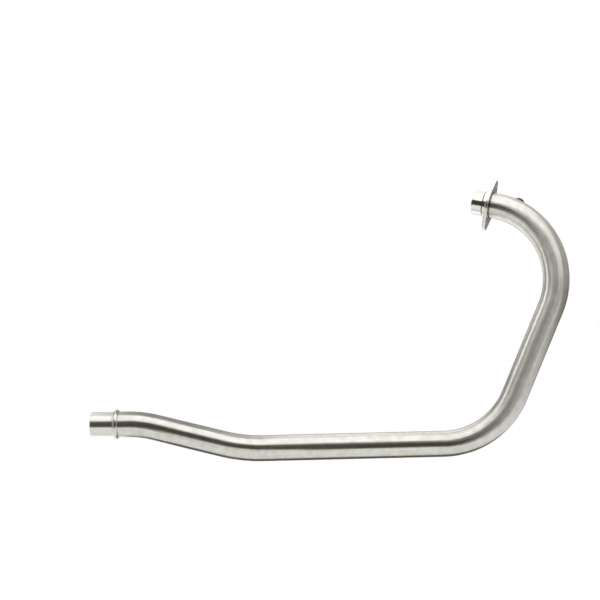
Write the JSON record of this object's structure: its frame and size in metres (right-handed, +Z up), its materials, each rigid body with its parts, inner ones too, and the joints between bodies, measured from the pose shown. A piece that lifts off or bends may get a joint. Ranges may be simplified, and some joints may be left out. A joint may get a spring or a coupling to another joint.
{
  "type": "motorcycle exhaust header",
  "caption": "Bent stainless exhaust header for a parallel twin, with a port spigot and collar, a loose two-bolt flange, a sensor boss and a sized outlet behind a stop ring.",
  "frame": {"origin": "on the port axis, on the face of the collar that seats in the cylinder head", "axes": "+X to the front of the motorcycle, +Y inboard to the engine, +Z up, with the lower run level along X"},
  "size_m": [0.7076, 0.0871, 0.4102],
  "materials": {
    "satin_tube": "satin polished along the tube",
    "turned_steel": "fine turned",
    "polished_plate": "polished",
    "polished_ring": "polished",
    "weld_metal": "rippled bead"
  },
  "bodies": {
    "pipe": {"header_tube": "satin_tube", "port_sleeve": "turned_steel", "outlet_stop_ring": "polished_ring", "sensor_boss": "turned_steel", "sensor_boss_weld": "weld_metal"},
    "flange": {"clamp_flange": "polished_plate"}
  },
  "joints": [
    {"name": "flange_swivel", "type": "hinge", "parent": "pipe", "child": "flange", "pos_m": [0.00445, -0.00176, -0.00107], "axis": [-0.9078, 0.3584, 0.2179], "continuous": true}
  ]
}
